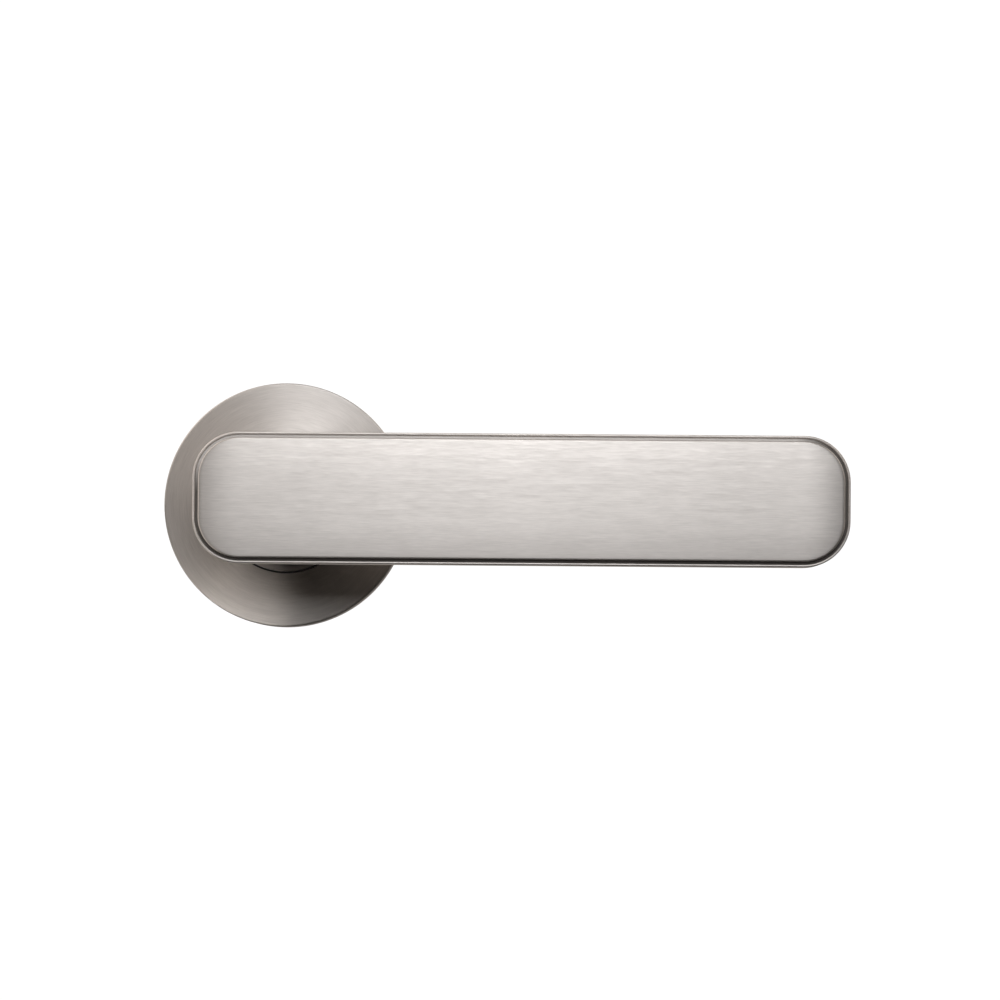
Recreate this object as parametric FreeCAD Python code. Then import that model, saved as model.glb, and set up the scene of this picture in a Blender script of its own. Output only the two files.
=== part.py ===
"""Sprung door lever handle on a round rose: one side of a door set, with its spindle and through bolts.

Frame, in millimetres: +Z up, the door's face is the plane Y = 0, the door lies on the +Y side, and the
handle stands out towards -Y. The spindle's axis is the Y axis, and the lever points along +X.
Distances named "out" are measured from the door's face towards the hand: a point at "out" lies at Y = -out.
Clock angles run clockwise from twelve o'clock, as seen by a person who faces the door.
The lever turns down by turning clockwise, which is a positive turn about +Y.
"""

import FreeCAD, Part
import math
import os

# ---- Driving dimensions ----

TURN_DEG = 50.0  # how far the lever turns down before it meets its stop
FIT_GAP = 0.02  # between pieces that are fixed together
RUN_GAP = 0.05  # radial gap of a running fit
SLIDE_GAP = 0.1  # between faces that slide past each other
HOLE_SPARE = 0.5  # a blind hole is this much deeper than what goes in
CUT_OVER = 1.0  # how far a groove's cutting shape reaches past the surface

# rose
COVER_R = 26.0
COVER_OUT = 10.0  # the cover's front face
COVER_WALL = 1.2
COVER_EDGE_R = 0.4
COVER_INNER_R = 0.4  # rounding inside the cover's corner
SNAP_GROOVE_DEPTH = 0.25
PLATE_T = 3.0
PLATE_R = 24.3
PLATE_FILLET_R = 0.4
RIM_T = 1.4
RIM_OUT = 5.6
RING_WIRE_R = 0.55  # wire ring between base plate and cover
RING_OUT = 3.5
RING_GAP_DEG = 24.0
GLIDE_SPACE = 0.4  # radial space for the ring between cover and collar

# fixings through the rose
BOLT_PITCH = 38.0
BOLT_R = 2.0
BOLT_NECK_R = 1.75  # the plain stretch inside the base plate
BOLT_HOLE_R = 2.2
BOLT_REACH = 45.0  # how far the bolts stand into the door
BOLT_HEAD_R = 3.6
BOLT_HEAD_T = 2.3
BOLT_HEAD_EDGE_R = 1.1
BOLT_TIP_CHAMFER = 0.5
CROSS_SPAN = 3.8
CROSS_WIDTH = 0.9
CROSS_DEPTH = 1.4
WOOD_SCREW_PITCH = 27.0
WOOD_SCREW_R = 1.8
WOOD_SCREW_HEAD_R = 3.5

# lever
LEVER_LENGTH = 135.0
LEVER_WIDTH = 27.0
LEVER_CORNER_R = 9.5
LEVER_OVERHANG = 17.5  # from the spindle's axis to the lever's near end
LEVER_BACK_OUT = 42.0
LEVER_RIM_OUT = 50.7
LEVER_BACK_EDGE_R = 2.2
LIP_T = 0.58  # width of the thin lip round the lever's front
LIP_EDGE_R = 0.27
GAP_FLOOR_OUT = 50.3  # floor of the narrow shadow gap inside the lip
PLATE_GAP = 0.1  # between the face plate and its seat
POCKET_OUT = 48.6  # floor of the seat for the face plate
PLATE_INSET = 1.2  # from the lever's outline to the face plate's
FACE_OUT = 52.2  # the face plate's front
FACE_EDGE_R = 0.3
FACE_CROWN_R = 220.0  # the face plate is slightly convex across its width
TAPE_T = 0.4
TAPE_INSET = 3.0
TAPE_HOLE_SPARE = 0.5

# neck
COLLAR_R = 14.2
COLLAR_OUT = 12.0
COLLAR_EDGE_R = 0.35
NECK_R = 11.0
COVE_R = 3.0
JOURNAL_R = 8.0
DRIVE_SQUARE = 17.0
DRIVE_CORNER_R = 11.6
SPIGOT_R = 8.9
SPIGOT_T = 3.0
NECK_END_OUT = -2.0
NECK_CHAMFER = 0.6

# spindle
SPINDLE = 8.0
SPINDLE_LENGTH = 105.0
SPINDLE_OUT = 34.0
SPINDLE_CHAMFER = 0.4

# bearing and spring
BOSS_R = 11.4
BOSS_OUT = 6.5
BUSH_R = 9.6
BUSH_FLANGE_R = 11.3
BUSH_FLANGE_T = 0.6
DRIVER_T = 1.5
DRIVER_R = 13.9
WIRE_R = 0.6
COIL_FLOOR_GAP = 0.08
COIL_R = 13.2
COIL_PITCH = 1.24
COIL_TURNS = 2
SPRING_LEG_R = 18.0
ANCHOR_CLOCK = -70.0  # where the spring's fixed leg stands
PIN_R = 1.2
PIN_RING_R = 17.0
PIN_SHY = 0.2  # the pins end this far short of the door and of the cover
PIN_NOSE_R = 0.3
ANCHOR_PIN_RISE = 2.0  # above the middle of the spring's first turn
SPRING_TAB_WIDTH = 3.0
SPRING_TAB_T = 1.5
SPRING_TAB_R = 16.8
STOP_ARM_WIDTH = 5.0
STOP_ARM_R = 18.4
RECESS_R = 12.2
RECESS_OUT = 1.7
WASHER_R = 11.5
WASHER_T = 0.5
DISC_SPRING_R = 11.0
DISC_SPRING_T = 0.4

# lever clips and fasteners
CIRCLIP_OUT = 0.54
CIRCLIP_T = 1.0
CIRCLIP_GROOVE_R = 7.6
CIRCLIP_R = 9.7
CIRCLIP_OFFSET = 0.35  # the ring is widest opposite its opening
CIRCLIP_EAR_RING_R = 9.5
CIRCLIP_EAR_DEG = 24.0
CIRCLIP_EAR_R = 1.7
CIRCLIP_EYE_R = 0.75
CIRCLIP_GAP = 4.2
GRUB_R = 3.0
GRUB_LENGTH = 6.0
GRUB_OUT = 21.0
GRUB_CHAMFER = 0.5
GRUB_SOCKET = 3.0
GRUB_SOCKET_T = 3.0
NECK_SCREW_R = 2.0
NECK_SCREW_LENGTH = 10.0
NECK_SCREW_X = 5.2
NECK_SCREW_HEAD_R = 3.75
NECK_SCREW_HEAD_T = 2.2
NECK_SCREW_CHAMFER = 0.4
NECK_SCREW_SOCKET = 2.5
NECK_SCREW_SOCKET_T = 1.6
DOWEL_R = 1.5
DOWEL_Z = 5.6
DOWEL_IN_NECK = 4.0
DOWEL_IN_LEVER = 2.5

# ---- Places worked out from the driving dimensions ----

CAVITY_OUT = COVER_OUT - COVER_WALL
DRIVER_OUT = BOSS_OUT + BUSH_FLANGE_T + SLIDE_GAP
DRIVER_FRONT = DRIVER_OUT + DRIVER_T
GLIDE_R = COLLAR_R + RUN_GAP
COVER_HOLE_R = COLLAR_R + GLIDE_SPACE
RING_R = PLATE_R + RUN_GAP
RING_GROOVE_HALF = RING_WIRE_R + RUN_GAP
COIL_OUT = PLATE_T + WIRE_R + COIL_FLOOR_GAP
COIL_SWEEP = COIL_TURNS * 360.0 - ANCHOR_CLOCK
WASHER_FRONT = RECESS_OUT - SLIDE_GAP / 2

RIGHT = FreeCAD.Vector(1, 0, 0)
AXIS = FreeCAD.Vector(0, 1, 0)
OUTWARDS = FreeCAD.Vector(0, -1, 0)
UP = FreeCAD.Vector(0, 0, 1)
DOWN = FreeCAD.Vector(0, 0, -1)
CENTRE = FreeCAD.Vector(0, 0, 0)

PARALLEL = 0.99  # the least cosine that counts as the same direction
CLOSE = 1e-4  # the most that two equal sizes may differ


# ---- Building blocks ----


def at(x, out, z):
    """The point with these coordinates, out from the door's face."""
    return FreeCAD.Vector(x, -out, z)


def on_clock(radius, clock_deg):
    """X and Z of a point on a circle about the spindle's axis."""
    angle = math.radians(clock_deg)
    return radius * math.sin(angle), radius * math.cos(angle)


def turned(shape, clock_deg):
    """The shape turned clockwise about the spindle's axis."""
    return shape.rotated(CENTRE, AXIS, clock_deg)


def disc(radius, out_from, out_to, x=0.0, z=0.0):
    """A cylinder along the spindle's axis, or along a line parallel to it."""
    return Part.makeCylinder(radius, out_to - out_from, at(x, out_from, z), OUTWARDS)


def ring(outer, inner, out_from, out_to, x=0.0, z=0.0):
    return disc(outer, out_from, out_to, x, z).cut(disc(inner, out_from, out_to, x, z))


def cone(radius_from, radius_to, out_from, out_to, x=0.0, z=0.0):
    return Part.makeCone(radius_from, radius_to, out_to - out_from, at(x, out_from, z), OUTWARDS)


def block(x_from, x_to, out_from, out_to, z_from, z_to):
    """A box between two X, two out and two Z values."""
    corner = at(x_from, out_to, z_from)
    return Part.makeBox(x_to - x_from, out_to - out_from, z_to - z_from, corner)


def square_bar(side, out_from, out_to):
    return block(-side / 2, side / 2, out_from, out_to, -side / 2, side / 2)


def hexagon(across_flats, out_from, out_to, x=0.0, z=0.0):
    """A hexagonal prism along the spindle's direction."""
    corner_r = across_flats / math.sqrt(3)
    points = [on_clock(corner_r, 60 * i) for i in range(7)]
    outline = Part.makePolygon([at(x + px, out_from, z + pz) for px, pz in points])
    return Part.Face(outline).extrude(at(0, out_to - out_from, 0))


def revolved(points):
    """A solid of revolution about the spindle's axis from (radius, out) points, with straight sides."""
    outline = Part.makePolygon([at(r, out, 0) for r, out in points + points[:1]])
    return Part.Face(outline).revolve(CENTRE, AXIS, 360)


def lever_slab(inset, out_from, out_to):
    """The lever's rounded outline, drawn in by an inset, as a slab."""
    x_low = -LEVER_OVERHANG + inset
    x_high = LEVER_LENGTH - LEVER_OVERHANG - inset
    half = LEVER_WIDTH / 2 - inset
    radius = LEVER_CORNER_R - inset
    slab = block(x_low, x_high, out_from, out_to, -half, half)
    corners = [e for e in slab.Edges if abs(e.tangentAt(e.FirstParameter).y) > PARALLEL]
    return slab.makeFillet(radius, corners)


def edges_at_out(shape, out):
    """The edges that lie wholly in the plane at this distance from the door."""
    level = [e for e in shape.Edges if e.BoundBox.YLength < CLOSE]
    return [e for e in level if abs(-e.BoundBox.YMin - out) < CLOSE]


def circles_at(shape, radius, out):
    """The circular edges of this radius in the plane at this distance from the door."""
    flat = edges_at_out(shape, out)
    round_edges = [e for e in flat if hasattr(e.Curve, "Radius")]
    return [e for e in round_edges if abs(e.Curve.Radius - radius) < CLOSE]


def cross_recess(x, z, top_out):
    """The cross-shaped driver socket in a screw's head."""
    long, short, floor_out = CROSS_SPAN / 2, CROSS_WIDTH / 2, top_out - CROSS_DEPTH
    level = block(x - long, x + long, floor_out, top_out, z - short, z + short)
    return level.fuse(block(x - short, x + short, floor_out, top_out, z - long, z + long))


# ---- The rose: everything that stays still on the door ----


def bolt_places():
    return [(-BOLT_PITCH / 2, 0.0), (BOLT_PITCH / 2, 0.0)]


def wood_screw_places():
    half = WOOD_SCREW_PITCH / 2
    return [(sx * half, sz * half) for sx in (-1, 1) for sz in (-1, 1)]


def stop_pin_clocks():
    """Clock angles of the pins that the driver's stop arm meets at rest and at the end of its turn."""
    reach = STOP_ARM_WIDTH / 2 + PIN_R + FIT_GAP
    half_angle = math.degrees(math.asin(reach / PIN_RING_R))
    return [180.0 - half_angle, 180.0 + TURN_DEG + half_angle]


def anchor_pin_clock():
    reach = WIRE_R + PIN_R + FIT_GAP
    return ANCHOR_CLOCK + math.degrees(math.asin(reach / PIN_RING_R))


def base_plate():
    """Cast plate that is bolted to the door: bearing boss, rim for the cover, and seats for the pins."""
    plate = disc(PLATE_R, 0, RIM_OUT).cut(disc(PLATE_R - RIM_T, PLATE_T, RIM_OUT))
    plate = plate.makeFillet(PLATE_FILLET_R, circles_at(plate, PLATE_R - RIM_T, PLATE_T))
    plate = plate.fuse(disc(BOSS_R, 0, BOSS_OUT))
    groove_r = RING_R - RING_GROOVE_HALF
    cuts = [
        disc(BUSH_R, 0, BOSS_OUT),
        disc(RECESS_R, 0, RECESS_OUT),
        ring(PLATE_R + CUT_OVER, groove_r, RING_OUT - RING_GROOVE_HALF, RING_OUT + RING_GROOVE_HALF),
    ]
    cuts += [disc(BOLT_HOLE_R, 0, PLATE_T, x, z) for x, z in bolt_places()]
    for x, z in wood_screw_places():
        sink_t = WOOD_SCREW_HEAD_R - WOOD_SCREW_R
        cuts.append(disc(WOOD_SCREW_R, 0, PLATE_T, x, z))
        cuts.append(cone(WOOD_SCREW_R, WOOD_SCREW_HEAD_R, PLATE_T - sink_t, PLATE_T, x, z))
    for clock in stop_pin_clocks() + [anchor_pin_clock()]:
        x, z = on_clock(PIN_RING_R, clock)
        cuts.append(disc(PIN_R + FIT_GAP, 0, PLATE_T, x, z))
    return plate.cut(cuts)


def pressed_pin(clock, out_to):
    """A steel pin with a rounded nose, pressed into the base plate just short of its back."""
    x, z = on_clock(PIN_RING_R, clock)
    pin = disc(PIN_R, PIN_SHY, out_to, x, z)
    return pin.makeFillet(PIN_NOSE_R, circles_at(pin, PIN_R, out_to))


def stop_pins():
    return Part.makeCompound([pressed_pin(clock, CAVITY_OUT - PIN_SHY) for clock in stop_pin_clocks()])


def spring_anchor_pin():
    return pressed_pin(anchor_pin_clock(), COIL_OUT + ANCHOR_PIN_RISE)


def bearing_bush():
    """Flanged plastic bush that carries the neck's journal."""
    bore = JOURNAL_R + RUN_GAP
    sleeve = disc(BUSH_R - FIT_GAP, RECESS_OUT, BOSS_OUT + FIT_GAP)
    flange = disc(BUSH_FLANGE_R, BOSS_OUT + FIT_GAP, BOSS_OUT + BUSH_FLANGE_T)
    return sleeve.fuse(flange).removeSplitter().cut(disc(bore, 0, COVER_OUT))


def return_spring():
    """Torsion spring round the boss: its rear leg bears on the anchor pin, its front leg on the driver."""
    rise = COIL_PITCH * COIL_SWEEP / 360.0
    helix = Part.makeHelix(COIL_PITCH, rise, COIL_R)
    profile = Part.Wire(Part.makeCircle(WIRE_R, FreeCAD.Vector(COIL_R, 0, 0), AXIS))
    coil = Part.Wire(helix).makePipeShell([profile], True, True)
    coil = coil.rotated(CENTRE, RIGHT, 90)
    coil = coil.mirror(CENTRE, RIGHT).translated(at(0, COIL_OUT, 0))
    coil = turned(coil, 90 + ANCHOR_CLOCK)
    pieces = []
    for clock, out in ((ANCHOR_CLOCK, COIL_OUT), (0.0, COIL_OUT + rise)):
        x, z = on_clock(COIL_R, clock)
        dx, dz = on_clock(1.0, clock)
        leg_length = SPRING_LEG_R - COIL_R
        pieces.append(Part.makeSphere(WIRE_R, at(x, out, z)))
        pieces.append(Part.makeCylinder(WIRE_R, leg_length, at(x, out, z), at(dx, 0, dz)))
    return coil.fuse(pieces)


def rose_cover():
    """Turned cap that snaps over the base plate and hides the fixings."""
    inner_r = COVER_R - COVER_WALL
    cap = disc(COVER_R, 0, COVER_OUT)
    cap = cap.makeFillet(COVER_EDGE_R, circles_at(cap, COVER_R, COVER_OUT))
    hollow = disc(inner_r, 0, CAVITY_OUT)
    hollow = hollow.makeFillet(COVER_INNER_R, circles_at(hollow, inner_r, CAVITY_OUT))
    groove_r = inner_r + SNAP_GROOVE_DEPTH
    snap_groove = disc(groove_r, RING_OUT - RING_GROOVE_HALF, RING_OUT + RING_GROOVE_HALF)
    return cap.cut([hollow, snap_groove, disc(COVER_HOLE_R, 0, COVER_OUT)])


def cover_snap_ring():
    """Open wire ring in the base plate's rim that grips the cover's groove."""
    circle = Part.makeCircle(RING_WIRE_R, at(RING_R, RING_OUT, 0), UP)
    snap = Part.Face(Part.Wire(circle)).revolve(CENTRE, AXIS, 360 - RING_GAP_DEG)
    return turned(snap, 90 + RING_GAP_DEG / 2)


def cover_glide_ring():
    """Thin plastic ring in the cover's hole, so that the collar turns without rubbing metal."""
    return ring(COVER_HOLE_R - FIT_GAP, GLIDE_R, CAVITY_OUT, COVER_OUT)


def through_bolts():
    """Two machine screws that clamp this rose to its twin through the door."""
    bolts = []
    for x, z in bolt_places():
        head_top = PLATE_T + BOLT_HEAD_T
        head = disc(BOLT_HEAD_R, PLATE_T, head_top, x, z)
        head = head.makeFillet(BOLT_HEAD_EDGE_R, circles_at(head, BOLT_HEAD_R, head_top))
        shank = disc(BOLT_R, -BOLT_REACH, 0, x, z)
        shank = shank.makeChamfer(BOLT_TIP_CHAMFER, circles_at(shank, BOLT_R, -BOLT_REACH))
        bolt = head.fuse([disc(BOLT_NECK_R, 0, PLATE_T, x, z), shank])
        bolts.append(bolt.cut(cross_recess(x, z, head_top)))
    return Part.makeCompound(bolts)


# ---- The lever: everything that turns with the hand ----


def neck():
    """Turned shank: journal, drive square, collar and cylinder, with a square socket for the spindle."""
    journal = disc(JOURNAL_R, NECK_END_OUT, DRIVER_OUT)
    journal = journal.makeChamfer(NECK_CHAMFER, circles_at(journal, JOURNAL_R, NECK_END_OUT))
    drive = square_bar(DRIVE_SQUARE, DRIVER_OUT, DRIVER_FRONT + SLIDE_GAP)
    drive = drive.common(disc(DRIVE_CORNER_R, DRIVER_OUT, DRIVER_FRONT + SLIDE_GAP))
    collar = disc(COLLAR_R, DRIVER_FRONT + SLIDE_GAP, COLLAR_OUT)
    collar = collar.makeFillet(COLLAR_EDGE_R, circles_at(collar, COLLAR_R, COLLAR_OUT))
    cove_block = disc(NECK_R + COVE_R, COLLAR_OUT, COLLAR_OUT + COVE_R)
    cove_ring = Part.makeTorus(NECK_R + COVE_R, COVE_R, at(0, COLLAR_OUT + COVE_R, 0), AXIS)
    barrel = disc(NECK_R, COLLAR_OUT, LEVER_BACK_OUT)
    spigot = disc(SPIGOT_R, LEVER_BACK_OUT, LEVER_BACK_OUT + SPIGOT_T)
    body = journal.fuse([drive, collar, cove_block.cut(cove_ring), barrel, spigot])
    socket = square_bar(SPINDLE + 2 * RUN_GAP, NECK_END_OUT, SPINDLE_OUT + HOLE_SPARE)
    groove_from = CIRCLIP_OUT - CIRCLIP_T - 2 * FIT_GAP
    clip_groove = ring(JOURNAL_R + CUT_OVER, CIRCLIP_GROOVE_R, groove_from, CIRCLIP_OUT + 2 * FIT_GAP)
    grub_hole = Part.makeCylinder(GRUB_R + FIT_GAP, NECK_R, at(0, GRUB_OUT, 0), DOWN)
    cuts = [socket, clip_groove, grub_hole, dowel_shape(FIT_GAP)]
    for x in (-NECK_SCREW_X, NECK_SCREW_X):
        tip_out = POCKET_OUT - NECK_SCREW_LENGTH
        cuts.append(disc(NECK_SCREW_R + FIT_GAP, tip_out - HOLE_SPARE, POCKET_OUT, x))
    return body.cut(cuts)


def dowel_shape(gap):
    """The locating pin between neck and lever, with a gap all round for the hole that takes it."""
    joint_out = LEVER_BACK_OUT + SPIGOT_T
    return disc(DOWEL_R + gap, joint_out - DOWEL_IN_NECK - gap, joint_out + DOWEL_IN_LEVER + gap, 0, DOWEL_Z)


def neck_dowel():
    return dowel_shape(0.0)


def lever_body():
    """Cast lever with a thin rounded lip, a shadow gap inside it, and a seat for the face plate."""
    slab = lever_slab(0, LEVER_BACK_OUT, LEVER_RIM_OUT)
    slab = slab.makeFillet(LEVER_BACK_EDGE_R, edges_at_out(slab, LEVER_BACK_OUT))
    slab = slab.cut(lever_slab(LIP_T, GAP_FLOOR_OUT, LEVER_RIM_OUT))
    slab = slab.makeFillet(LIP_EDGE_R, edges_at_out(slab, LEVER_RIM_OUT))
    cuts = [
        lever_slab(PLATE_INSET - PLATE_GAP, POCKET_OUT, GAP_FLOOR_OUT),
        disc(SPIGOT_R + FIT_GAP, LEVER_BACK_OUT, LEVER_BACK_OUT + SPIGOT_T + FIT_GAP),
        dowel_shape(FIT_GAP),
    ]
    for x in (-NECK_SCREW_X, NECK_SCREW_X):
        sink_from = POCKET_OUT - NECK_SCREW_HEAD_T
        cuts.append(disc(NECK_SCREW_R + FIT_GAP, LEVER_BACK_OUT, POCKET_OUT, x))
        cuts.append(cone(NECK_SCREW_R + FIT_GAP, NECK_SCREW_HEAD_R + FIT_GAP, sink_from, POCKET_OUT, x))
    return slab.cut(cuts)


def face_plate():
    """Brushed plate in the lever's front, standing slightly proud, convex across its width."""
    plate = lever_slab(PLATE_INSET, POCKET_OUT + TAPE_T, FACE_OUT)
    crown_axis = at(-LEVER_LENGTH, FACE_OUT - FACE_CROWN_R, 0)
    crown = Part.makeCylinder(FACE_CROWN_R, 3 * LEVER_LENGTH, crown_axis, RIGHT)
    plate = plate.common(crown)
    front = [e for e in plate.Edges if -e.BoundBox.YMax > LEVER_RIM_OUT]
    return plate.makeFillet(FACE_EDGE_R, front)


def face_plate_tape():
    """Double-sided foam tape that bonds the face plate into its seat, cut round the screw heads."""
    tape = lever_slab(TAPE_INSET, POCKET_OUT, POCKET_OUT + TAPE_T)
    hole_r = NECK_SCREW_HEAD_R + TAPE_HOLE_SPARE
    return tape.cut([disc(hole_r, POCKET_OUT, POCKET_OUT + TAPE_T, x) for x in (-NECK_SCREW_X, NECK_SCREW_X)])


def neck_screws():
    """Countersunk socket screws that hold the neck from under the face plate."""
    head_out, tip_out = POCKET_OUT - NECK_SCREW_HEAD_T, POCKET_OUT - NECK_SCREW_LENGTH
    screws = []
    for x in (-NECK_SCREW_X, NECK_SCREW_X):
        head = cone(NECK_SCREW_R, NECK_SCREW_HEAD_R, head_out, POCKET_OUT, x)
        shank = disc(NECK_SCREW_R, tip_out, head_out, x)
        shank = shank.makeChamfer(NECK_SCREW_CHAMFER, circles_at(shank, NECK_SCREW_R, tip_out))
        socket = hexagon(NECK_SCREW_SOCKET, POCKET_OUT - NECK_SCREW_SOCKET_T, POCKET_OUT, x)
        screws.append(head.fuse(shank).cut(socket))
    return Part.makeCompound(screws)


def grub_screw():
    """Socket set screw under the neck that grips the spindle."""
    foot = at(0, GRUB_OUT, -SPINDLE / 2 - FIT_GAP - GRUB_LENGTH)
    screw = Part.makeCylinder(GRUB_R, GRUB_LENGTH)
    screw = screw.makeChamfer(GRUB_CHAMFER, [e for e in screw.Edges if hasattr(e.Curve, "Radius")])
    socket = hexagon(GRUB_SOCKET, 0, GRUB_SOCKET_T).rotated(CENTRE, RIGHT, -90)
    return screw.cut(socket).translated(foot)


def spindle():
    """Square steel bar that turns the latch's follower."""
    bar = square_bar(SPINDLE, SPINDLE_OUT - SPINDLE_LENGTH, SPINDLE_OUT)
    return bar.makeChamfer(SPINDLE_CHAMFER, bar.Edges)


def spring_driver():
    """Steel disc on the neck's drive square: a bent tab pushes the spring, and an arm meets the stops."""
    plate = disc(DRIVER_R, DRIVER_OUT, DRIVER_FRONT)
    tab_right = -WIRE_R - FIT_GAP
    tab_left = tab_right - SPRING_TAB_WIDTH
    arm = block(tab_left, tab_right, DRIVER_OUT, DRIVER_FRONT, 0, SPRING_TAB_R)
    tab = block(tab_left, tab_right, COIL_OUT, DRIVER_OUT, SPRING_TAB_R - SPRING_TAB_T, SPRING_TAB_R)
    half = STOP_ARM_WIDTH / 2
    stop_arm = block(-half, half, DRIVER_OUT, DRIVER_FRONT, -STOP_ARM_R, 0)
    plate = plate.fuse([arm, tab, stop_arm]).removeSplitter()
    hole = square_bar(DRIVE_SQUARE + 2 * FIT_GAP, DRIVER_OUT, DRIVER_FRONT)
    return plate.cut(hole.common(disc(DRIVE_CORNER_R + FIT_GAP, DRIVER_OUT, DRIVER_FRONT)))


def circlip():
    """External retaining ring in the neck's groove, open at the bottom between two eared ends."""
    back = CIRCLIP_OUT - CIRCLIP_T
    ear_places = [on_clock(CIRCLIP_EAR_RING_R, 180 + side * CIRCLIP_EAR_DEG) for side in (-1, 1)]
    band = disc(CIRCLIP_R, back, CIRCLIP_OUT, 0, CIRCLIP_OFFSET)
    clip = band.fuse([disc(CIRCLIP_EAR_R, back, CIRCLIP_OUT, x, z) for x, z in ear_places])
    gap_half = CIRCLIP_GAP / 2
    cuts = [
        disc(CIRCLIP_GROOVE_R + FIT_GAP, back, CIRCLIP_OUT),
        block(-gap_half, gap_half, back, CIRCLIP_OUT, -RECESS_R, 0),
    ]
    cuts += [disc(CIRCLIP_EYE_R, back, CIRCLIP_OUT, x, z) for x, z in ear_places]
    return clip.cut(cuts)


def thrust_washer():
    """Plastic washer between the base plate and the disc spring."""
    return ring(WASHER_R, JOURNAL_R + RUN_GAP, WASHER_FRONT - WASHER_T, WASHER_FRONT)


def disc_spring():
    """Conical spring washer that takes up the lever's end play."""
    inner_r = JOURNAL_R + RUN_GAP
    front = WASHER_FRONT - WASHER_T - FIT_GAP
    back = CIRCLIP_OUT + FIT_GAP
    inner_side = [(inner_r, back), (inner_r, back + DISC_SPRING_T)]
    outer_side = [(DISC_SPRING_R, front), (DISC_SPRING_R, front - DISC_SPRING_T)]
    return revolved(inner_side + outer_side)


NODES = {
    "base_plate": base_plate,
    "stop_pins": stop_pins,
    "spring_anchor_pin": spring_anchor_pin,
    "bearing_bush": bearing_bush,
    "return_spring": return_spring,
    "rose_cover": rose_cover,
    "cover_snap_ring": cover_snap_ring,
    "cover_glide_ring": cover_glide_ring,
    "through_bolts": through_bolts,
    "neck": neck,
    "neck_dowel": neck_dowel,
    "neck_screws": neck_screws,
    "lever_body": lever_body,
    "face_plate": face_plate,
    "face_plate_tape": face_plate_tape,
    "grub_screw": grub_screw,
    "spindle": spindle,
    "spring_driver": spring_driver,
    "circlip": circlip,
    "thrust_washer": thrust_washer,
    "disc_spring": disc_spring,
}

os.makedirs("parts", exist_ok=True)
for node, make in NODES.items():
    shape = make()
    print(f"{node}: {len(shape.Solids)} solid(s), valid {shape.isValid()}, {shape.Volume:.1f} mm3")
    shape.exportStep(f"parts/{node}.step")
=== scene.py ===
import math

import bmesh
import bpy
from mathutils import Matrix, Vector


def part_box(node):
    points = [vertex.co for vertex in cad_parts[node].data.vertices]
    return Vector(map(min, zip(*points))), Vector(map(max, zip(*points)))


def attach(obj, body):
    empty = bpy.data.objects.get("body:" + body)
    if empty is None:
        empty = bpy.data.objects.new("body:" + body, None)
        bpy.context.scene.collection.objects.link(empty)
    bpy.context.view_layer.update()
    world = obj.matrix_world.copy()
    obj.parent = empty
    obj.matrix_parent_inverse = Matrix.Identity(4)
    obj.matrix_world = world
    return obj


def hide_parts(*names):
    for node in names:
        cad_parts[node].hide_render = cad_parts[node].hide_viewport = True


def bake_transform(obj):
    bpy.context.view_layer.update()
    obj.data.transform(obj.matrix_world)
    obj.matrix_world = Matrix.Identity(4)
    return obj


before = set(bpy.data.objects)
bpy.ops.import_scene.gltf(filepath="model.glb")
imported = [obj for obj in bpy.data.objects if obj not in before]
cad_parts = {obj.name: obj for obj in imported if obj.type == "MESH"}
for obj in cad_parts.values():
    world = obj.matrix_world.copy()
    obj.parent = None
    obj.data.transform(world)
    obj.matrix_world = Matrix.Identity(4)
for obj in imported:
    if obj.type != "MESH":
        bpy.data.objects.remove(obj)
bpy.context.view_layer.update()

MM = 0.001
BACK = Vector((0, 1, 0))  # into the door

# ---- Sizes that the frame doesn't give ----

FACE_CORNER_R = 8.3 * MM
FACE_EDGE_R = 0.3 * MM
FACE_BACK_CHAMFER = 0.2 * MM
FACE_CROWN_R = 220 * MM
PILLOW_REACH = 8.2 * MM  # how far in from its outline the face plate rolls off
PILLOW_DROP = 0.2 * MM
PILLOW_POWER = 2.5

WIRE_R = 0.6 * MM
COIL_R = 13.2 * MM
COIL_TURNS = 2
COIL_STEPS = 110
LEG_RADII = (18 * MM, 16.5 * MM, 15 * MM, 14 * MM)  # points along a leg, from its end to the coil
ANCHOR_CLOCK = -70.0

BOLT_R = 2.0 * MM  # through bolts and neck screws
BOLT_NECK_R = 1.75 * MM
BOLT_PITCH = 0.7 * MM
BOLT_THREAD_DEPTH = 0.35 * MM
THREAD_START = 0.2 * MM
ROWS_PER_TURN = 8
CUT_OVER = 0.1 * MM  # how far a cutter starts outside the surface
HEAD_EDGE = 0.1 * MM

PAN_HEAD_R = 3.6 * MM
PAN_HEAD_T = 2.3 * MM
PAN_CROWN_R = 1.1 * MM
PAN_FLAT_SHARE = 0.3
CROSS_LENGTH = 4.2 * MM
CROSS_WIDTH = 1.0 * MM
CROSS_DEPTH = 1.5 * MM
CROSS_TAPER = 0.6
BOLT_THREAD_END = 1.2 * MM  # back from the tip
BOLT_TIP_LENGTH = 0.5 * MM
BOLT_TIP_SHARE = 0.75

SUNK_HEAD_R = 3.75 * MM
SUNK_HEAD_T = 2.2 * MM
SUNK_RIM_T = 0.2 * MM
SUNK_RIM_IN = 0.15 * MM
SUNK_SOCKET_R = 1.44 * MM
SUNK_SOCKET_DEPTH = 1.6 * MM
SUNK_THREAD_END = 0.6 * MM  # back from the tip
SUNK_TIP_LENGTH = 0.5 * MM
SUNK_TIP_SHARE = 0.65

GRUB_PITCH = 1.0 * MM
GRUB_THREAD_DEPTH = 0.5 * MM
GRUB_CHAMFER = 0.15 * MM
GRUB_TIP_LENGTH = 0.4 * MM
GRUB_CUP_R = 1.0 * MM
GRUB_CUP_DEPTH = 0.5 * MM
GRUB_SOCKET_R = 1.73 * MM
GRUB_SOCKET_DEPTH = 3.0 * MM

# ---- Camera ----

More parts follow.
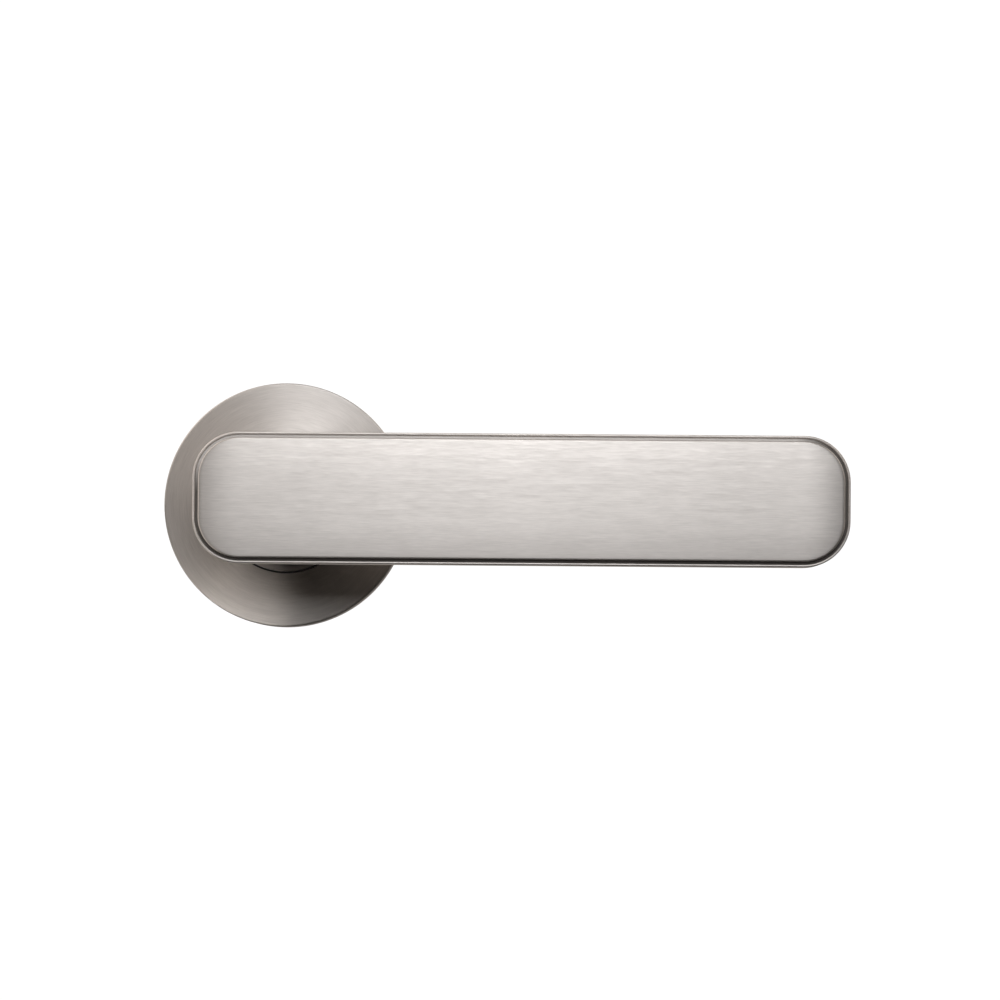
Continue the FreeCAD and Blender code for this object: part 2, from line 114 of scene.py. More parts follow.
CAMERA_DISTANCE = 1.0  # from the face plate's front
VIEW_WIDTH = 0.2045  # what the picture takes in at that distance
CAMERA_X = 45.6 * MM
CAMERA_DROP = 38.6 * MM  # the camera stands a little below the spindle
AIM_RISE = 1.4 * MM
CAMERA_ROLL_DEG = 0.45
SENSOR = 36.0

# ---- Light ----

KEY_PLACE = Vector((63, -805, 393)) * MM
KEY_AIM = Vector((45, -50, 0)) * MM
KEY_WIDTH = 320 * MM
KEY_HEIGHT = 650 * MM
KEY_WATTS = 2.36
KEY_TINT = (1, 1.012, 1.03)

LIFT_CLOCKS = (197, 220)  # where the two spots on the rose's lower left stand
LIFT_AIM_R = 29.2 * MM  # they aim just past the rose's edge
LIFT_FROM_R = 240 * MM
LIFT_OUT = 574 * MM
LIFT_DEG = 2.9
LIFT_WATTS = 1.1
LIFT_SOURCE_R = 4 * MM
LIFT_TINT = (1, 0.96, 0.92)

# The world's glows. A ramp is an axis of the direction, where it starts, where it's full, and its height.
GLOWS = {
    "behind": (("Y", -0.1, 0.9, 0.5),),
    "above": (("Z", 0.4, 1.0, 0.35),),
    "left": (("X", 0.0, -0.7, 0.6), ("Z", -0.25, 0.5, 2.2)),
    "low left": (("X", -0.4, -0.6, 0.65), ("Z", -0.1, -0.35, 1.0)),
    "right": (("X", 0.3, 0.8, 1.0), ("Z", 0.0, 0.5, 1.0)),
}
GLOW_TINT = (1, 0.93, 0.87, 1)
BACKDROP_LEVEL = 1.05

FLOOR_DROP = 130 * MM
FLOOR_R = 370 * MM
FLOOR_DARK = (0.4, 0.4, 0.4, 1)
FLOOR_PALE = (0.43, 0.43, 0.43, 1)
FLOOR_GLOW = 0.65
WHITE = (1, 1, 1, 1)

# ---- Colours and grain ----

NICKEL = (0.66, 0.622, 0.59, 1)
DRAWN_STEEL = (0.56, 0.56, 0.57, 1)
PLATED_STEEL = (0.6, 0.6, 0.61, 1)
SPRING_STEEL = (0.2, 0.2, 0.215, 1)
CASTING = (0.47, 0.47, 0.48, 1)
ACETAL = (0.8, 0.8, 0.76, 1)
NYLON = (0.018, 0.018, 0.019, 1)
FOAM_DARK = (0.015, 0.015, 0.017, 1)
FOAM_PALE = (0.05, 0.05, 0.055, 1)

GRAIN_SQUEEZE = 0.07  # how much closer together the noise is across the scratches than along them
ROUND_GRAIN_R = 1.4 * MM  # the same for scratches that run round the spindle
GRAIN_LEAN = 0.02  # how far the scratches' direction leans out of line

GAP_TOP_OUT = 50.4 * MM  # the floor of the lever's shadow gap lies nearer to the door than this
GAP_LOW_Z = 1 * MM  # below this the floor is rough and carries the full painted shade, and above the next it is smooth
GAP_HIGH_Z = 7 * MM
GAP_TIP_START = 11 * MM  # back from the lever's tip, where the floor starts to get rough and fully painted with shade again
GAP_TIP_FULL = 4 * MM
GAP_ROUGHNESS = 0.75
# how dark the painted shade on the gap floor is, as a share of the nickel colour
GAP_PAINTED_SHADE = 0.4
GAP_SMOOTH_SHARE = 0.35  # how much of the painted shade the smooth stretch keeps


# ---- Small helpers ----


def new_object(name, data):
    piece = bpy.data.objects.new(name, data)
    bpy.context.scene.collection.objects.link(piece)
    return piece


def smooth(mesh, angle_deg=35):
    mesh.polygons.foreach_set("use_smooth", [True] * len(mesh.polygons))
    mesh.set_sharp_from_angle(angle=math.radians(angle_deg))


def mesh_from(bm, name, merge=1e-7):
    """Closes a bmesh by merging doubles, and turns it into a smooth mesh."""
    bmesh.ops.remove_doubles(bm, verts=bm.verts, dist=merge)
    bmesh.ops.dissolve_degenerate(bm, edges=bm.edges, dist=merge)
    bmesh.ops.recalc_face_normals(bm, faces=bm.faces)
    mesh = bpy.data.meshes.new(name)
    bm.to_mesh(mesh)
    bm.free()
    smooth(mesh)
    return mesh


def dress(piece, body, slot, material, *nodes):
    """Gives a new piece its body and its material, and hides the CAD nodes that it stands for. The record
    slot is not used.
    """
    piece.data.materials.clear()
    piece.data.materials.append(material)
    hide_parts(*nodes)
    if body:
        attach(piece, body)
    return piece


def subtract(piece, cutter):
    """Cuts one object out of another and leaves a plain mesh."""
    modifier = piece.modifiers.new("cut", "BOOLEAN")
    modifier.operation = "DIFFERENCE"
    modifier.solver = "EXACT"
    modifier.object = cutter
    cut = bpy.data.meshes.new_from_object(piece.evaluated_get(bpy.context.evaluated_depsgraph_get()))
    piece.modifiers.clear()
    piece.data = cut
    bpy.data.objects.remove(cutter)
    smooth(cut)


# ---- Shader building ----


def add(tree, kind, inputs=(), **settings):
    """A node with its settings and inputs. An input is a number, a vector or another node's output."""
    node = tree.nodes.new(kind)
    for name, value in settings.items():
        setattr(node, name, value)
    for socket, value in dict(inputs).items():
        if isinstance(value, bpy.types.NodeSocket):
            tree.links.new(value, node.inputs[socket])
        else:
            node.inputs[socket].default_value = value
    return node


def calc(tree, operation, first, second=0.0):
    return add(tree, "ShaderNodeMath", {0: first, 1: second}, operation=operation).outputs[0]


def vector(tree, operation, first, second=(0, 0, 0)):
    node = add(tree, "ShaderNodeVectorMath", {0: first, 1: second}, operation=operation)
    return node.outputs["Value" if operation in ("LENGTH", "DOT_PRODUCT") else "Vector"]


def noise(tree, where, scale, detail=2.0, roughness=0.5):
    inputs = {"Vector": where, "Scale": scale, "Detail": detail, "Roughness": roughness}
    return add(tree, "ShaderNodeTexNoise", inputs).outputs["Fac"]


def spread(tree, value, low, high, out_low=0.0, out_high=1.0):
    """Maps a value from one range to another, and holds it there."""
    inputs = {"Value": value, "From Min": low, "From Max": high, "To Min": out_low, "To Max": out_high}
    return add(tree, "ShaderNodeMapRange", inputs, clamp=True).outputs["Result"]


def tint(tree, factor, dark, light):
    """A colour between two others."""
    return add(tree, "ShaderNodeMix", {"Factor": factor, 6: dark, 7: light}, data_type="RGBA").outputs[2]


def new_material(name):
    """A material with a bare shader, and its tree, shader and the object's own coordinates."""
    material = bpy.data.materials.new(name)
    material.use_nodes = True
    tree = material.node_tree
    shader = tree.nodes["Principled BSDF"]
    place = add(tree, "ShaderNodeTexCoord").outputs["Object"]
    return material, tree, shader, place


def feed(tree, shader, **inputs):
    """Links or sets the shader's inputs, named with underscores for spaces."""
    for name, value in inputs.items():
        socket = shader.inputs[name.replace("_", " ")]
        if isinstance(value, bpy.types.NodeSocket):
            tree.links.new(value, socket)
        else:
            socket.default_value = value


def bump(tree, height, depth):
    inputs = {"Height": height, "Distance": depth, "Strength": 1.0}
    return add(tree, "ShaderNodeBump", inputs).outputs["Normal"]


def mixed(tree, first, second, share):
    """Two values added, the second with this share and the first with the rest."""
    return calc(
        tree,
        "ADD",
        calc(tree, "MULTIPLY", first, 1 - share),
        calc(tree, "MULTIPLY", second, share),
    )


def scaled(colour, factor):
    return tuple(c * factor for c in colour[:3]) + (1,)


# ---- Metals ----


def grain_along_x(tree, place):
    """Coordinates stretched into scratches along X, and the scratches' direction.

    The direction leans a little, so that faces square to it still get one.
    """
    coordinates = vector(tree, "MULTIPLY", place, (GRAIN_SQUEEZE, 1, 1))
    return coordinates, add(tree, "ShaderNodeCombineXYZ", {"X": 1.0, "Y": GRAIN_LEAN}).outputs[0]


def grain_along_y(tree, place):
    coordinates = vector(tree, "MULTIPLY", place, (1, GRAIN_SQUEEZE, 1))
    return coordinates, add(tree, "ShaderNodeCombineXYZ", {"X": GRAIN_LEAN, "Y": 1.0}).outputs[0]


def grain_round_y(tree, place):
    """Coordinates that follow circles round the spindle, and the circles' direction."""
    flat = vector(tree, "MULTIPLY", place, (1, 0, 1))
    radius = vector(tree, "LENGTH", flat)
    turn = vector(tree, "SCALE", vector(tree, "NORMALIZE", flat))
    turn.node.inputs["Scale"].default_value = ROUND_GRAIN_R
    along = add(tree, "ShaderNodeSeparateXYZ", {0: place}).outputs["Y"]
    across = add(tree, "ShaderNodeCombineXYZ", {"Y": calc(tree, "ADD", radius, along)}).outputs[0]
    return vector(tree, "ADD", turn, across), vector(tree, "CROSS_PRODUCT", place, tuple(BACK))


def brushed_metal(name, grain, colour=NICKEL, roughness=0.43, stretch=0.85, depth=0.004, contrast=0.1):
    """Metal with fine scratches, whose highlights spread across the grain."""
    material, tree, shader, place = new_material(name)
    coordinates, direction = grain(tree, place)
    fine = noise(tree, coordinates, scale=5200, detail=3.0, roughness=0.6)
    broad = noise(tree, coordinates, scale=1300)
    scratch = mixed(tree, fine, broad, 0.35)
    cloud = noise(tree, place, scale=45, detail=3.0)
    mix = mixed(tree, scratch, cloud, 0.2)
    world_direction = add(
        tree,
        "ShaderNodeVectorTransform",
        {"Vector": direction},
        vector_type="VECTOR",
        convert_from="OBJECT",
        convert_to="WORLD",
    ).outputs[0]
    normal = add(tree, "ShaderNodeNewGeometry").outputs["Normal"]
    across = vector(tree, "NORMALIZE", vector(tree, "CROSS_PRODUCT", normal, world_direction))
    dark, light = scaled(colour, 1 - contrast), scaled(colour, 1 + contrast)
    feed(
        tree,
        shader,
        Base_Color=tint(tree, spread(tree, mix, 0.3, 0.7), dark, light),
        Metallic=1.0,
        Roughness=spread(tree, mix, 0.25, 0.75, roughness + 0.05, roughness - 0.05),
        Anisotropic=stretch,
        Tangent=across,
        Normal=bump(tree, scratch, depth * MM),
    )
    return material


def roughen_gap_floor_and_paint_shade(material):
    """Paints shade into the colour of the lever's shadow-gap floor, fullest below and at the tip, and
    makes the floor rough there.
    """
    tree = material.node_tree
    shader = tree.nodes["Principled BSDF"]
    place = add(tree, "ShaderNodeTexCoord").outputs["Object"]
    parts = add(tree, "ShaderNodeSeparateXYZ", {0: place}).outputs
    normal = add(tree, "ShaderNodeNewGeometry").outputs["Normal"]
    facing = add(tree, "ShaderNodeSeparateXYZ", {0: normal}).outputs["Y"]
    deep = calc(tree, "GREATER_THAN", parts["Y"], -GAP_TOP_OUT)
    floor = calc(tree, "MULTIPLY", deep, calc(tree, "LESS_THAN", facing, -0.5))
    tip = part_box("lever_body")[1].x
    below = spread(tree, parts["Z"], GAP_LOW_Z, GAP_HIGH_Z, 1.0, 0.0)
    at_tip = spread(tree, parts["X"], tip - GAP_TIP_START, tip - GAP_TIP_FULL)
    rough_and_shade_mask = calc(tree, "MULTIPLY", floor, calc(tree, "MAXIMUM", below, at_tip))
    # painted shade: the gap floor's colour darkens, fully below and at the tip and partly elsewhere
    painted_gap_shade = calc(tree, "MULTIPLY", floor, spread(tree, rough_and_shade_mask, 0.0, 1.0, GAP_SMOOTH_SHARE, 1.0))
    colour = shader.inputs["Base Color"].links[0].from_socket
    polished = shader.inputs["Roughness"].links[0].from_socket
    cast = calc(tree, "ADD", calc(tree, "MULTIPLY", noise(tree, place, scale=2400), 0.1), GAP_ROUGHNESS)
    feed(
        tree,
        shader,
        Roughness=add(tree, "ShaderNodeMix", {"Factor": rough_and_shade_mask, 2: polished, 3: cast}).outputs[0],
        Base_Color=tint(tree, painted_gap_shade, colour, scaled(NICKEL, GAP_PAINTED_SHADE)),
    )


def plain_metal(name, colour, roughness, depth=0.003):
    """Plated or drawn metal with an even, fine surface and faint clouds."""
    material, tree, shader, place = new_material(name)
    fine = noise(tree, place, scale=900, detail=4.0, roughness=0.6)
    cloud = noise(tree, place, scale=160, detail=3.0)
    mix = mixed(tree, fine, cloud, 0.5)
    feed(
        tree,
        shader,
        Base_Color=tint(tree, spread(tree, mix, 0.35, 0.65), scaled(colour, 0.84), scaled(colour, 1.1)),
        Metallic=1.0,
        Roughness=spread(tree, mix, 0.3, 0.7, roughness + 0.08, roughness - 0.06),
        Normal=bump(tree, fine, depth * MM),
    )
    return material


def cast_zinc():
    """Die casting: a matt skin with faint flow marks and small pits."""
    material, tree, shader, place = new_material("zinc_casting")
    skin = noise(tree, place, scale=2400, detail=4.0, roughness=0.65)
    flow = noise(tree, vector(tree, "MULTIPLY", place, (1, 1, 0.3)), scale=240, detail=4.0, roughness=0.6)
    pits = add(tree, "ShaderNodeTexVoronoi", {"Vector": place, "Scale": 900.0}).outputs["Distance"]
    pitted = spread(tree, pits, 0.05, 0.25)
    height = calc(tree, "ADD", skin, calc(tree, "MULTIPLY", pitted, 0.6))
    feed(
        tree,
        shader,
        Base_Color=tint(tree, spread(tree, flow, 0.3, 0.7), scaled(CASTING, 0.8), scaled(CASTING, 1.15)),
        Metallic=0.9,
        Roughness=spread(tree, flow, 0.3, 0.7, 0.6, 0.48),
        Normal=bump(tree, height, 0.012 * MM),
    )
    return material


# ---- Plastics and tape ----


def plastic(name, colour, roughness, depth=0.006):
    """Moulded plastic with a fine satin texture."""
    material, tree, shader, place = new_material(name)
    fine = noise(tree, place, scale=3000, detail=3.0, roughness=0.6)
    cloud = noise(tree, place, scale=120)
    feed(
        tree,
        shader,
        Base_Color=tint(tree, cloud, scaled(colour, 0.93), scaled(colour, 1.05)),
        Roughness=spread(tree, fine, 0.3, 0.7, roughness + 0.06, roughness - 0.06),
        Normal=bump(tree, fine, depth * MM),
    )
    return material


def foam_tape():
    """Dark closed-cell foam."""
    material, tree, shader, place = new_material("foam_tape")
    cells = add(tree, "ShaderNodeTexVoronoi", {"Vector": place, "Scale": 2600.0}).outputs["Distance"]
    feed(
        tree,
        shader,
        Base_Color=tint(tree, cells, FOAM_DARK, FOAM_PALE),
        Roughness=spread(tree, cells, 0.0, 1.0, 0.85, 0.7),
        Normal=bump(tree, cells, 0.05 * MM),
    )
    return material


# ---- The face plate ----


def inset_outline(low, high, corner_r, inset, corner_steps=14, long_steps=64, short_steps=8):
    """X and Z of a rounded rectangle drawn in by an inset, always with the same number of points."""
    centre_x, centre_z = (low.x + high.x) / 2, (low.z + high.z) / 2
    half_x, half_z = (high.x - low.x) / 2 - inset, (high.z - low.z) / 2 - inset
    radius = max(corner_r - inset, 0.0)
    corners = []
    for quarter, (sx, sz) in enumerate(((1, 1), (-1, 1), (-1, -1), (1, -1))):
        hub_x, hub_z = sx * (half_x - radius), sz * (half_z - radius)
        arc = []
        for step in range(corner_steps + 1):
            angle = math.radians(90 * (quarter + step / corner_steps))
            arc.append((hub_x + radius * math.cos(angle), hub_z + radius * math.sin(angle)))
        corners.append(arc)
    points = []
    for quarter, arc in enumerate(corners):
        points += arc
        start, end = arc[-1], corners[(quarter + 1) % 4][0]
        steps = long_steps if quarter % 2 == 0 else short_steps
        for step in range(1, steps):
            share = step / steps
            points.append((start[0] + (end[0] - start[0]) * share, start[1] + (end[1] - start[1]) * share))
    return [(centre_x + x, centre_z + z) for x, z in points]


def face_height(inset, z):
    """How far the face plate's front lies behind its highest line."""
    edge = max(FACE_EDGE_R - inset, 0.0)
    rounding = FACE_EDGE_R - math.sqrt(FACE_EDGE_R**2 - edge**2)
    roll = PILLOW_DROP * max(1 - inset / PILLOW_REACH, 0.0) ** PILLOW_POWER
    crown = FACE_CROWN_R - math.sqrt(FACE_CROWN_R**2 - z**2)
    return rounding + roll + crown


def bridge(bm, rings):
    """Quads between rings of the same length."""
    for near, far in zip(rings, rings[1:]):
        count = len(near)
        for i in range(count):
            bm.faces.new((near[i], near[(i + 1) % count], far[(i + 1) % count], far[i]))


def make_face_plate(material):
    low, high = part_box("face_plate")
    half = (high.z - low.z) / 2
    edge_steps, dome_steps = 10, 26
    insets = [FACE_EDGE_R * (1 - math.cos(math.radians(90 * i / edge_steps))) for i in range(edge_steps)]
    insets += [FACE_EDGE_R + (half - FACE_EDGE_R) * i / dome_steps for i in range(dome_steps + 1)]
    bm = bmesh.new()
    rings = []
    for y, inset in ((high.y, FACE_BACK_CHAMFER), (high.y - FACE_BACK_CHAMFER, 0.0)):
        outline = inset_outline(low, high, FACE_CORNER_R, inset)
        rings.append([bm.verts.new((x, y, z)) for x, z in outline])
    for inset in insets:
        outline = inset_outline(low, high, FACE_CORNER_R, inset)
        rings.append([bm.verts.new((x, low.y + face_height(inset, z), z)) for x, z in outline])
    bridge(bm, rings)
    bm.faces.new(rings[0])
    piece = new_object("face_plate_pillow", mesh_from(bm, "face_plate_pillow", 1e-6))
    return dress(piece, "lever", "brushed_nickel", material, "face_plate")


# ---- The return spring ----


def on_clock(radius, clock_deg):
    """X and Z on a circle round the spindle, clockwise from the top as seen from the front."""
    angle = math.radians(clock_deg)
    return radius * math.sin(angle), radius * math.cos(angle)


def make_return_spring(material):
    """The coil with its two legs as one smooth wire. In the real handle the spring winds up as the lever
    turns.
    """
    low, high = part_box("return_spring")
    rear_y, front_y = high.y - WIRE_R, low.y + WIRE_R
    sweep = COIL_TURNS * 360 - ANCHOR_CLOCK
    route = []
    for radius in LEG_RADII:
        x, z = on_clock(radius, ANCHOR_CLOCK)
        route.append((x, rear_y, z))
    for step in range(1, COIL_STEPS):
        share = step / COIL_STEPS
        x, z = on_clock(COIL_R, ANCHOR_CLOCK + sweep * share)
        route.append((x, rear_y + (front_y - rear_y) * share, z))
    for radius in reversed(LEG_RADII):
        x, z = on_clock(radius, 0.0)
        route.append((x, front_y, z))
    curve = bpy.data.curves.new("return_spring_wire", "CURVE")
    curve.dimensions = "3D"
    curve.bevel_depth = WIRE_R
    curve.bevel_resolution = 5
    curve.use_fill_caps = True
    spline = curve.splines.new("NURBS")
    spline.points.add(len(route) - 1)
    for point, place in zip(spline.points, route):
        point.co = (*place, 1)
    spline.order_u = 4
    spline.use_endpoint_u = True
    spline.resolution_u = 4
    wire = new_object("wire", curve)
    mesh = bpy.data.meshes.new_from_object(wire.evaluated_get(bpy.context.evaluated_depsgraph_get()))
    bpy.data.objects.remove(wire)
    smooth(mesh, 50)
    piece = new_object("return_spring_coil", mesh)
    dress(piece, None, "spring_steel", material, "return_spring")
    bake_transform(piece)


# ---- Screws with real threads ----


def turned_rows(profile, columns):
    """Rows of a turned shape from (radius, distance along the axis) points."""
    rows = []
    for radius, along in profile:
        angles = [2 * math.pi * j / columns for j in range(columns)]
        rows.append([(radius * math.cos(a), along, radius * math.sin(a)) for a in angles])
    return rows


def thread_rows(crest_r, depth, pitch, start, end, columns):
    """Rows that climb with the thread, so that its crest runs true, and fade out at both ends."""
    rows = []
    for i in range(int((end - start) / pitch * ROWS_PER_TURN) + 2 * ROWS_PER_TURN + 2):
        # A trapezoid: a flat root, a flank, a flat crest and the other flank in each pitch.
        from_crest = abs(2 * (i % ROWS_PER_TURN) / ROWS_PER_TURN - 1)
        height = min(max(1.25 - 1.5 * from_crest, 0.0), 1.0)
        row = []
        for j in range(columns):
            angle = 2 * math.pi * j / columns
            along = min(max(start + (i / ROWS_PER_TURN + j / columns - 1) * pitch, start), end)
            fade = min((along - start) / pitch, (end - along) / pitch, 1.0)
            radius = crest_r - depth * (1 - height * fade)
            row.append((radius * math.cos(angle), along, radius * math.sin(angle)))
        rows.append(row)
    return rows


def screw_mesh(name, head, thread, tip, columns=32):
    """A closed mesh of a screw along +Y: a turned head, a thread and a turned tip."""
    parts = (turned_rows(head, columns), thread_rows(*thread, columns), turned_rows(tip, columns))
    bm = bmesh.new()
    grid = [[bm.verts.new(point) for point in row] for rows in parts for row in rows]
    first, last = len(parts[0]), len(parts[0]) + len(parts[1]) - 1
    for near in range(len(grid) - 1):
        far = near + 1
        for j in range(columns):
            quad = [grid[near][j], grid[far][j]]
            if j < columns - 1:
                quad += [grid[far][j + 1], grid[near][j + 1]]
            else:
                # Across the seam the thread has climbed by one turn's rows.
                over = [k + ROWS_PER_TURN if first <= k <= last else k for k in (far, near)]
                quad += [grid[min(k, last) if first <= near <= last else k][0] for k in over]
            if len(set(quad)) == 4:
                bm.faces.new(quad)
    return mesh_from(bm, name)


def hexagon_cutter(radius, along_from, along_to):
    """A cutter for a hexagon socket along Y."""
    angles = [math.radians(60 * (i + 0.5)) for i in range(6)]
    bm = bmesh.new()
    rings = []
    for along in (along_from, along_to):
        corners = [(radius * math.cos(a), along, radius * math.sin(a)) for a in angles]
        rings.append([bm.verts.new(corner) for corner in corners])
    bridge(bm, rings)
    bm.faces.new(rings[0])
    bm.faces.new(rings[1])
    return new_object("socket", mesh_from(bm, "socket"))


def slot_cutter(along_from, along_to, turn_deg):
    """A straight tapered slot through the axis: half of a cross recess."""
    bm = bmesh.new()
    rings = []
    for along, share in ((along_from, 1.0), (along_to, CROSS_TAPER)):
        half_l, half_w = CROSS_LENGTH / 2 * share, CROSS_WIDTH / 2 * share
        corners = ((half_l, half_w), (-half_l, half_w), (-half_l, -half_w), (half_l, -half_w))
        rings.append([bm.verts.new((x, along, z)) for x, z in corners])
    bridge(bm, rings)
    bm.faces.new(rings[0])
    bm.faces.new(rings[1])
    turn = Matrix.Rotation(math.radians(turn_deg), 3, "Y")
    bmesh.ops.rotate(bm, verts=bm.verts, cent=(0, 0, 0), matrix=turn)
    return new_object("recess", mesh_from(bm, "recess"))


def pan_head(top):
    """Profile of a pan head and the plain neck under it."""
    profile = [(0.0, top), (PAN_HEAD_R * PAN_FLAT_SHARE, top)]
    for step in range(7):
        angle = math.radians(15 * step)
        radius = PAN_HEAD_R - PAN_CROWN_R * (1 - math.sin(angle))
        profile.append((radius, top + PAN_CROWN_R * (1 - math.cos(angle))))
    under = top + PAN_HEAD_T
    profile += [(PAN_HEAD_R, under - HEAD_EDGE), (PAN_HEAD_R - HEAD_EDGE, under)]
    return profile + [(BOLT_NECK_R, under), (BOLT_NECK_R, 0.0)]


def make_through_bolts(material):
    low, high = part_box("through_bolts")
    top, reach = low.y, high.y
    root_r = BOLT_R - BOLT_THREAD_DEPTH
    thread = (BOLT_R, BOLT_THREAD_DEPTH, BOLT_PITCH, THREAD_START, reach - BOLT_THREAD_END)
    tip = [(root_r, reach - BOLT_TIP_LENGTH), (root_r * BOLT_TIP_SHARE, reach), (0.0, reach)]
    off_axis = (high.x - low.x) / 2 - PAN_HEAD_R
    for side, name in ((-1, "through_bolt_left"), (1, "through_bolt_right")):
        piece = new_object(name, screw_mesh(name, pan_head(top), thread, tip))
        for turn in (0, 90):
            subtract(piece, slot_cutter(top - CUT_OVER, top + CROSS_DEPTH, turn))
        piece.data.transform(Matrix.Translation((side * off_axis, 0, 0)))
        dress(piece, "rose", "plain_steel", material, "through_bolts")


def make_neck_screws(material):
    low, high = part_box("neck_screws")
    top, reach = low.y, high.y
    root_r = BOLT_R - BOLT_THREAD_DEPTH
    shank_start = top + SUNK_HEAD_T
    head = [(0.0, top), (SUNK_HEAD_R - SUNK_RIM_IN, top), (SUNK_HEAD_R, top + SUNK_RIM_T)]
    head += [(root_r, shank_start)]
    thread = (BOLT_R, BOLT_THREAD_DEPTH, BOLT_PITCH, shank_start, reach - SUNK_THREAD_END)
    tip = [(root_r, reach - SUNK_TIP_LENGTH), (BOLT_R * SUNK_TIP_SHARE, reach), (0.0, reach)]
    off_axis = (high.x - low.x) / 2 - SUNK_HEAD_R
    for side, name in ((-1, "neck_screw_left"), (1, "neck_screw_right")):
        piece = new_object(name, screw_mesh(name, head, thread, tip))
        subtract(piece, hexagon_cutter(SUNK_SOCKET_R, top - CUT_OVER, top + SUNK_SOCKET_DEPTH))
        piece.data.transform(Matrix.Translation((side * off_axis, 0, 0)))
        dress(piece, "lever", "plain_steel", material, "neck_screws")


def make_grub_screw(material):
    """A set screw along Z: its socket opens downwards, and its cup point bears on the spindle."""
    low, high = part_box("grub_screw")
    radius, length = (high.x - low.x) / 2, high.z - low.z
    root_r = radius - GRUB_THREAD_DEPTH
    head = [(0.0, 0.0), (root_r - HEAD_EDGE, 0.0), (root_r, GRUB_CHAMFER)]
    thread = (radius, GRUB_THREAD_DEPTH, GRUB_PITCH, THREAD_START, length - GRUB_CUP_DEPTH)
    tip = [(root_r, length - GRUB_TIP_LENGTH), (root_r - GRUB_CUP_DEPTH, length)]
    tip += [(GRUB_CUP_R, length), (0.0, length - GRUB_CUP_DEPTH)]
    piece = new_object("set_screw", screw_mesh("set_screw", head, thread, tip, columns=48))
    subtract(piece, hexagon_cutter(GRUB_SOCKET_R, -CUT_OVER, GRUB_SOCKET_DEPTH))
    upright = Matrix.Rotation(math.radians(90), 4, "X")
    centre = (low + high) / 2
    piece.data.transform(Matrix.Translation((centre.x, centre.y, low.z)) @ upright)
    dress(piece, "lever", "plain_steel", material, "grub_screw")


# ---- Stage, light and camera ----


def hang_lamp(light, place, target):
    """Hangs a light so that it looks at its target."""
    lamp = new_object(light.name, light)
    lamp.location = place
    lamp.rotation_euler = (target - place).to_track_quat("-Z", "Y").to_euler()
    lamp.visible_camera = False


def soft_box(name, place, target, width, height, watts, tint_of_light):
    light = bpy.data.lights.new(name, "AREA")
    light.shape = "RECTANGLE"
    light.size, light.size_y = width, height
    light.energy = watts
    light.color = tint_of_light
    hang_lamp(light, place, target)


def lift(name, place, target):
    """A narrow spot with a soft edge."""
    beam = bpy.data.lights.new(name, "SPOT")
    beam.energy = LIFT_WATTS
    beam.spot_size = math.radians(LIFT_DEG)
    beam.spot_blend = 1.0
    beam.shadow_soft_size = LIFT_SOURCE_R
    beam.color = LIFT_TINT
    hang_lamp(beam, place, target)


def make_lights():
    """One tall soft box over the camera, and two narrow spots that lift the rose's lower left."""
    soft_box("front_top", KEY_PLACE, KEY_AIM, KEY_WIDTH, KEY_HEIGHT, KEY_WATTS, KEY_TINT)
    rose_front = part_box("rose_cover")[0].y
    for clock in LIFT_CLOCKS:
        x, z = on_clock(1.0, clock)
        place = Vector((x * LIFT_FROM_R, -LIFT_OUT, z * LIFT_FROM_R))
        lift("rose_lift", place, Vector((x * LIFT_AIM_R, rose_front, z * LIFT_AIM_R)))


def make_world():
    """White to the camera. As light it is dim, with a few soft glows."""
    world = bpy.data.worlds.new("studio")
    bpy.context.scene.world = world
    world.use_nodes = True
    tree = world.node_tree
    tree.nodes.clear()
    direction = add(tree, "ShaderNodeTexCoord").outputs["Generated"]
    parts = add(tree, "ShaderNodeSeparateXYZ", {0: direction}).outputs
    level = 0.0
    for ramps in GLOWS.values():
        glow = 1.0
        for axis, start, full, height in ramps:
            glow = calc(tree, "MULTIPLY", glow, spread(tree, parts[axis], start, full, 0.0, height))
        level = calc(tree, "ADD", level, glow)
    seen = add(tree, "ShaderNodeLightPath").outputs["Is Camera Ray"]
    lighting = add(tree, "ShaderNodeBackground", {"Color": GLOW_TINT, "Strength": level})
    backdrop = add(tree, "ShaderNodeBackground", {"Color": WHITE, "Strength": BACKDROP_LEVEL})
    both = add(tree, "ShaderNodeMixShader", {0: seen, 1: lighting.outputs[0], 2: backdrop.outputs[0]})
    add(tree, "ShaderNodeOutputWorld", {"Surface": both.outputs[0]})


def make_floor():
    """A pale floor under the handle's lowest reach. It isn't seen in the metal and casts no shadow."""
    bm = bmesh.new()
    bmesh.ops.create_circle(bm, cap_ends=True, radius=FLOOR_R, segments=96)
    mesh = bpy.data.meshes.new("floor")
    bm.to_mesh(mesh)
    bm.free()
    floor = new_object("floor", mesh)
    floor.location = (0, 0, -FLOOR_DROP)
    floor.visible_glossy = False
    floor.visible_diffuse = False
    floor.visible_shadow = False
    material, tree, shader, place = new_material("floor")
    feed(
        tree,
        shader,
        Base_Color=tint(tree, noise(tree, place, scale=6.0), FLOOR_DARK, FLOOR_PALE),
        Roughness=0.9,
        Emission_Color=WHITE,
        Emission_Strength=FLOOR_GLOW,
    )
    mesh.materials.append(material)


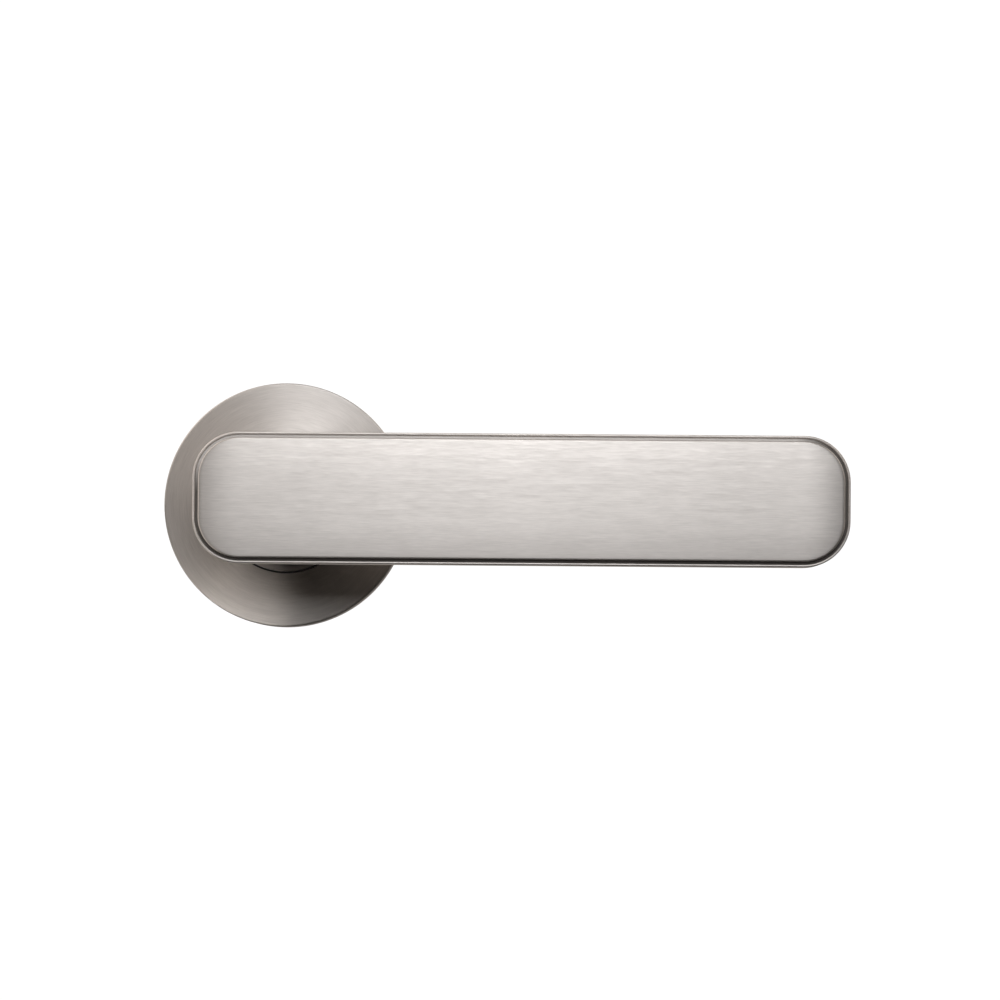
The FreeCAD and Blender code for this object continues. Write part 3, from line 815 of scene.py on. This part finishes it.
def make_camera():
    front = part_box("face_plate")[0].y
    rose_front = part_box("rose_cover")[0].y
    camera = bpy.data.cameras.new("camera")
    camera.sensor_width = SENSOR
    camera.lens = SENSOR * CAMERA_DISTANCE / VIEW_WIDTH
    eye = new_object("camera", camera)
    eye.location = (CAMERA_X, front - CAMERA_DISTANCE, -CAMERA_DROP)
    aim = Vector((CAMERA_X, rose_front, AIM_RISE)) - eye.location
    look = aim.to_track_quat("-Z", "Y").to_matrix().to_4x4()
    roll = Matrix.Rotation(math.radians(CAMERA_ROLL_DEG), 4, "Z")
    eye.rotation_euler = (look @ roll).to_euler()
    bpy.context.scene.camera = eye


# ---- Everything together ----

bpy.context.scene.view_settings.view_transform = "Standard"

linear_nickel = brushed_metal("brushed_nickel", grain_along_x)
turned_nickel = brushed_metal("turned_nickel", grain_round_y, scaled(NICKEL, 0.88))
lever_nickel = brushed_metal("lever_nickel", grain_along_x, roughness=0.45, stretch=0.5)
roughen_gap_floor_and_paint_shade(lever_nickel)
neck_nickel = brushed_metal("neck_nickel", grain_round_y, roughness=0.35, stretch=0.7)
drawn_steel = brushed_metal("drawn_steel", grain_along_y, DRAWN_STEEL, roughness=0.36, stretch=0.4)
plated_steel = plain_metal("plated_steel", PLATED_STEEL, roughness=0.34)
spring_steel = plain_metal("spring_steel", SPRING_STEEL, roughness=0.38)
acetal = plastic("acetal", ACETAL, roughness=0.42)
dark_nylon = plastic("dark_nylon", NYLON, roughness=0.55)

NODE_MATERIALS = {
    "base_plate": cast_zinc(),
    "stop_pins": plated_steel,
    "spring_anchor_pin": plated_steel,
    "bearing_bush": acetal,
    "rose_cover": turned_nickel,
    "cover_snap_ring": spring_steel,
    "cover_glide_ring": dark_nylon,
    "neck": neck_nickel,
    "neck_dowel": plated_steel,
    "lever_body": lever_nickel,
    "face_plate_tape": foam_tape(),
    "spindle": drawn_steel,
    "spring_driver": plated_steel,
    "circlip": spring_steel,
    "thrust_washer": acetal,
    "disc_spring": spring_steel,
}
for node, material in NODE_MATERIALS.items():
    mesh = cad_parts[node].data
    mesh.materials.clear()
    mesh.materials.append(material)

make_face_plate(linear_nickel)
make_return_spring(spring_steel)
make_through_bolts(plated_steel)
make_neck_screws(plated_steel)
make_grub_screw(spring_steel)
make_world()
make_floor()
make_lights()
make_camera()
